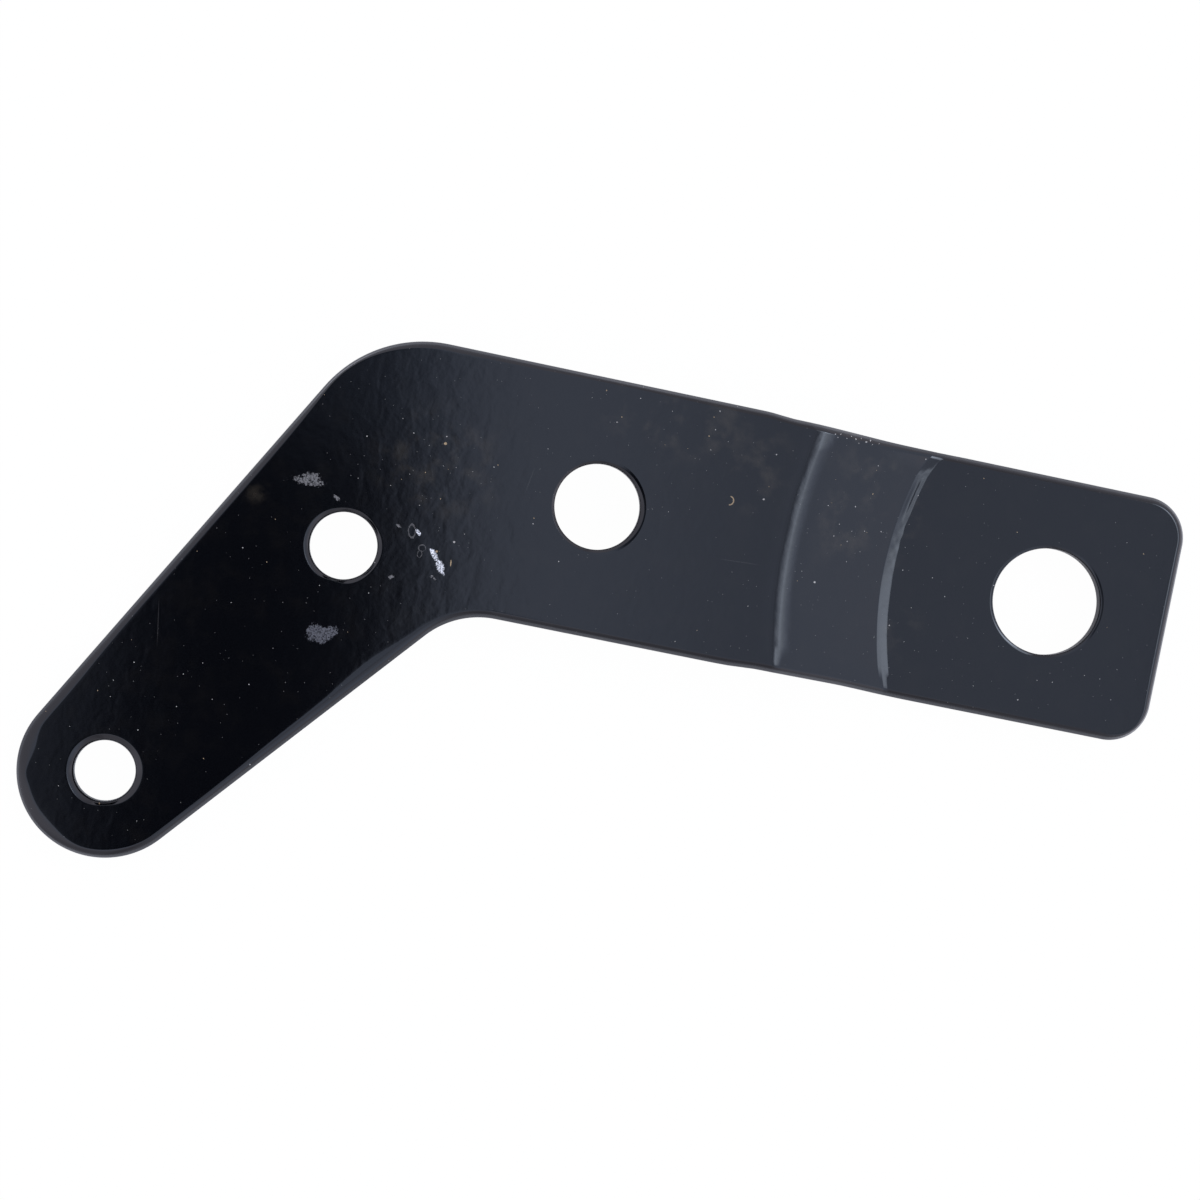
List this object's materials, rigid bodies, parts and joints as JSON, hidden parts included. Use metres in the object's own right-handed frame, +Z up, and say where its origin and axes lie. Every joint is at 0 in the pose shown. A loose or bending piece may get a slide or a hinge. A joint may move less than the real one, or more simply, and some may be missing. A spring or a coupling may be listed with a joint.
{
  "type": "idler bracket",
  "caption": "Black painted steel plate bracket with a rounded arm and a joggled bar, punched to swing on a pivot and carry a belt idler.",
  "frame": {"origin": "middle of the base of the resting plate's box, level with the surface it lies on", "axes": "+X along the bar towards the pulley hole, +Y across the bar away from the arm, +Z up out of the rolled-over face"},
  "size_m": [0.1658, 0.0834, 0.0112],
  "materials": {
    "gloss_black_paint": "gloss black stoved paint with light orange peel"
  },
  "bodies": {
    "root": {"bracket_plate": "gloss_black_paint"}
  },
  "joints": []
}
